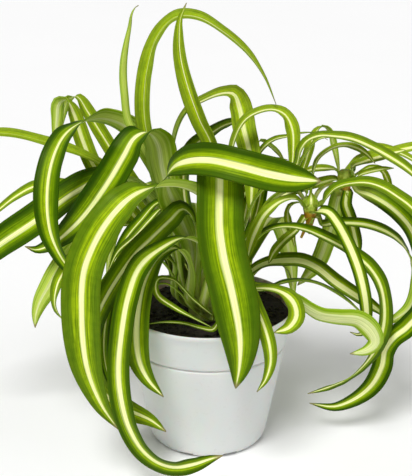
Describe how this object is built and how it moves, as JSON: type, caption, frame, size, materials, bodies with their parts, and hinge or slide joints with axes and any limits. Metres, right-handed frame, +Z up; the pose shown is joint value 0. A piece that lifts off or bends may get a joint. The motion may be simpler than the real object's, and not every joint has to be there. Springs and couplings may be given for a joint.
{
  "type": "potted spider plant",
  "caption": "Spider plant with striped, arching strap leaves and a runner with young plants, growing in soil in a white round tapered nursery pot.",
  "frame": {"origin": "centre of the pot's underside, where it rests on a surface", "axes": "+Z up along the pot's axis, -Y towards the plant's front, +X to the right seen from the front"},
  "size_m": [0.3084, 0.1871, 0.2645],
  "materials": {
    "pot": "satin, slightly translucent white",
    "soil": "crumbly dark peat",
    "leaf": "waxy striped leaf",
    "stem": "pale green stem"
  },
  "bodies": {
    "root": {"crown": "stem", "leaf_back_hoop": "leaf", "leaf_back_left": "leaf", "leaf_back_low": "leaf", "leaf_back_middle": "leaf", "leaf_back_middle_low": "leaf", "leaf_back_right": "leaf", "leaf_back_right_low": "leaf", "leaf_back_thin": "leaf", "leaf_front_across": "leaf", "leaf_front_crescent": "leaf", "leaf_front_hanging": "leaf", "leaf_inner_dark": "leaf", "leaf_left_bend": "leaf", "leaf_left_curl": "leaf", "leaf_left_dark": "leaf", "leaf_left_far": "leaf", "leaf_left_front": "leaf", "leaf_left_hairpin": "leaf", "leaf_left_hoop": "leaf", "leaf_left_inner_dark": "leaf", "leaf_left_inner_stripe": "leaf", "leaf_left_inner_thin": "leaf", "leaf_left_long": "leaf", "leaf_left_low": "leaf", "leaf_left_pale": "leaf", "leaf_left_peak": "leaf", "leaf_left_shadow": "leaf", "leaf_left_thin": "leaf", "leaf_left_wide": "leaf", "leaf_over_rim": "leaf", "leaf_right_arch": "leaf", "leaf_right_band": "leaf", "leaf_right_high": "leaf", "leaf_right_low": "leaf", "leaf_right_pale": "leaf", "leaf_right_sweep": "leaf", "leaf_top_arch": "leaf", "leaf_top_dark": "leaf", "leaf_top_fold": "leaf", "leaf_top_hoop": "leaf", "leaf_top_thin": "leaf", "leaf_top_upright": "leaf", "plantlet_back_leaf_dark": "leaf", "plantlet_back_leaf_grey": "leaf", "plantlet_back_leaf_high": "leaf", "plantlet_back_leaf_sweep": "leaf", "plantlet_back_leaf_top": "leaf", "plantlet_front_leaf_hoop": "leaf", "plantlet_front_leaf_left": "leaf", "plantlet_front_leaf_low": "leaf", "plantlet_front_leaf_right": "leaf", "plantlet_front_leaf_white": "leaf", "pot": "pot", "soil": "soil", "stolon": "stem"}
  },
  "joints": []
}
